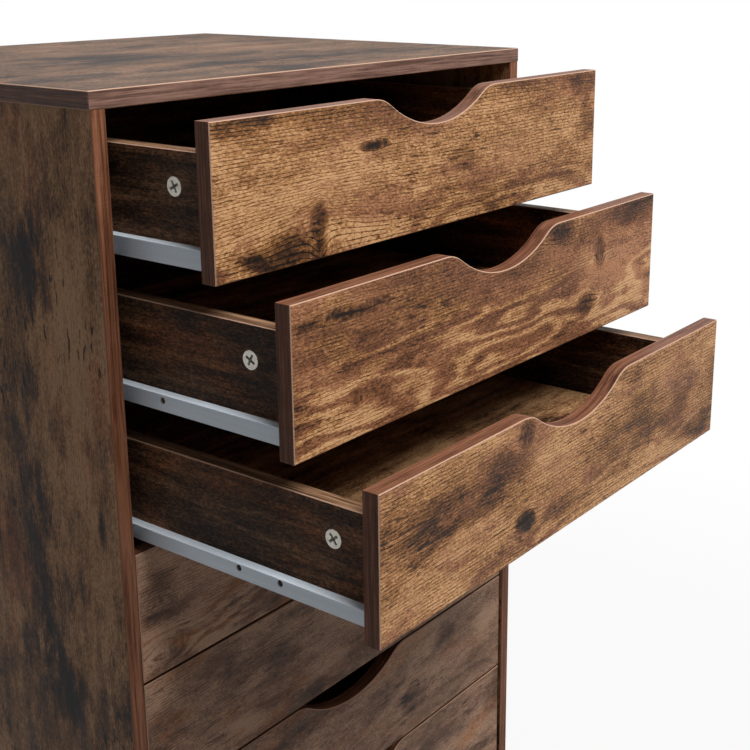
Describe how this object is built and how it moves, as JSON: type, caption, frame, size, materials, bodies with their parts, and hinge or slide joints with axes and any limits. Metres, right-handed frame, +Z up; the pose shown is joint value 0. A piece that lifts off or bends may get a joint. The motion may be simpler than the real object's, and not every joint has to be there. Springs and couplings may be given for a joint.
{
  "type": "rolling drawer cabinet",
  "caption": "Tall wood-look drawer chest on swivel casters: inset fronts with curved finger scoops, drawer boxes on roller runners, the upper drawers standing open in steps.",
  "frame": {"origin": "on the floor, below the middle of the stored pose's bounding box, so the drawers that stand open count", "axes": "+Z up, -Y out of the drawer fronts, +X to the right of someone who faces the fronts"},
  "size_m": [0.48, 0.611, 0.788],
  "materials": {
    "front_laminate": "printed rustic brown wood film on board, satin",
    "carcass_laminate": "printed rustic brown wood film on board, satin",
    "drawer_laminate": "dark brown printed wood film on board",
    "panel_print": "thin fibreboard with a printed brown face",
    "runner_paint": "pale grey stoved paint on folded sheet steel",
    "cam_zinc": "dull zinc die casting",
    "roller_nylon": "off-white nylon",
    "caster_steel": "bright zinc plated steel",
    "wheel_rubber": "black moulded rubber"
  },
  "bodies": {
    "carcass": {"top_panel": "carcass_laminate", "left_side_panel": "carcass_laminate", "right_side_panel": "carcass_laminate", "bottom_panel": "carcass_laminate", "back_panel": "panel_print", "panel_cams": "cam_zinc", "cabinet_runners": "runner_paint", "cabinet_rollers": "roller_nylon", "caster_stems": "caster_steel", "caster_inserts": "caster_steel"},
    "drawer_1": {"drawer_1_front": "front_laminate", "drawer_1_sides": "drawer_laminate", "drawer_1_back": "drawer_laminate", "drawer_1_bottom": "panel_print", "drawer_1_runners": "runner_paint", "drawer_1_cams": "cam_zinc"},
    "drawer_2": {"drawer_2_front": "front_laminate", "drawer_2_sides": "drawer_laminate", "drawer_2_back": "drawer_laminate", "drawer_2_bottom": "panel_print", "drawer_2_runners": "runner_paint", "drawer_2_cams": "cam_zinc"},
    "drawer_3": {"drawer_3_front": "front_laminate", "drawer_3_sides": "drawer_laminate", "drawer_3_back": "drawer_laminate", "drawer_3_bottom": "panel_print", "drawer_3_runners": "runner_paint", "drawer_3_cams": "cam_zinc"},
    "drawer_4": {"drawer_4_front": "front_laminate", "drawer_4_sides": "drawer_laminate", "drawer_4_back": "drawer_laminate", "drawer_4_bottom": "panel_print", "drawer_4_runners": "runner_paint", "drawer_4_cams": "cam_zinc"},
    "drawer_5": {"drawer_5_front": "front_laminate", "drawer_5_sides": "drawer_laminate", "drawer_5_back": "drawer_laminate", "drawer_5_bottom": "panel_print", "drawer_5_runners": "runner_paint", "drawer_5_cams": "cam_zinc"},
    "drawer_6": {"drawer_6_front": "front_laminate", "drawer_6_sides": "drawer_laminate", "drawer_6_back": "drawer_laminate", "drawer_6_bottom": "panel_print", "drawer_6_runners": "runner_paint", "drawer_6_cams": "cam_zinc"},
    "drawer_7": {"drawer_7_front": "front_laminate", "drawer_7_sides": "drawer_laminate", "drawer_7_back": "drawer_laminate", "drawer_7_bottom": "panel_print", "drawer_7_runners": "runner_paint", "drawer_7_cams": "cam_zinc"},
    "front_left_caster_fork": {"front_left_caster_fork": "caster_steel"},
    "front_left_caster_wheel": {"front_left_caster_wheel": "wheel_rubber"},
    "front_right_caster_fork": {"front_right_caster_fork": "caster_steel"},
    "front_right_caster_wheel": {"front_right_caster_wheel": "wheel_rubber"},
    "rear_left_caster_fork": {"rear_left_caster_fork": "caster_steel"},
    "rear_left_caster_wheel": {"rear_left_caster_wheel": "wheel_rubber"},
    "rear_right_caster_fork": {"rear_right_caster_fork": "caster_steel"},
    "rear_right_caster_wheel": {"rear_right_caster_wheel": "wheel_rubber"}
  },
  "joints": [
    {"name": "drawer_1_slide", "type": "slide", "parent": "carcass", "child": "drawer_1", "axis": [0, -1, 0], "range_m": [-0.09, 0.17]},
    {"name": "drawer_2_slide", "type": "slide", "parent": "carcass", "child": "drawer_2", "axis": [0, -1, 0], "range_m": [-0.1495, 0.1105]},
    {"name": "drawer_3_slide", "type": "slide", "parent": "carcass", "child": "drawer_3", "axis": [0, -1, 0], "range_m": [-0.213, 0.047]},
    {"name": "drawer_4_slide", "type": "slide", "parent": "carcass", "child": "drawer_4", "axis": [0, -1, 0], "range_m": [0, 0.26]},
    {"name": "drawer_5_slide", "type": "slide", "parent": "carcass", "child": "drawer_5", "axis": [0, -1, 0], "range_m": [0, 0.26]},
    {"name": "drawer_6_slide", "type": "slide", "parent": "carcass", "child": "drawer_6", "axis": [0, -1, 0], "range_m": [0, 0.26]},
    {"name": "drawer_7_slide", "type": "slide", "parent": "carcass", "child": "drawer_7", "axis": [0, -1, 0], "range_m": [0, 0.26]},
    {"name": "front_left_swivel", "type": "hinge", "parent": "carcass", "child": "front_left_caster_fork", "pos_m": [-0.189, -0.0445, 0.062], "axis": [0, 0, 1], "continuous": true},
    {"name": "front_left_roll", "type": "hinge", "parent": "front_left_caster_fork", "child": "front_left_caster_wheel", "pos_m": [-0.189, -0.0265, 0.025], "axis": [1, 0, 0], "continuous": true},
    {"name": "front_right_swivel", "type": "hinge", "parent": "carcass", "child": "front_right_caster_fork", "pos_m": [0.189, -0.0445, 0.062], "axis": [0, 0, 1], "continuous": true},
    {"name": "front_right_roll", "type": "hinge", "parent": "front_right_caster_fork", "child": "front_right_caster_wheel", "pos_m": [0.189, -0.0265, 0.025], "axis": [1, 0, 0], "continuous": true},
    {"name": "rear_left_swivel", "type": "hinge", "parent": "carcass", "child": "rear_left_caster_fork", "pos_m": [-0.189, 0.2555, 0.062], "axis": [0, 0, 1], "continuous": true},
    {"name": "rear_left_roll", "type": "hinge", "parent": "rear_left_caster_fork", "child": "rear_left_caster_wheel", "pos_m": [-0.189, 0.2735, 0.025], "axis": [1, 0, 0], "continuous": true},
    {"name": "rear_right_swivel", "type": "hinge", "parent": "carcass", "child": "rear_right_caster_fork", "pos_m": [0.189, 0.2555, 0.062], "axis": [0, 0, 1], "continuous": true},
    {"name": "rear_right_roll", "type": "hinge", "parent": "rear_right_caster_fork", "child": "rear_right_caster_wheel", "pos_m": [0.189, 0.2735, 0.025], "axis": [1, 0, 0], "continuous": true}
  ]
}
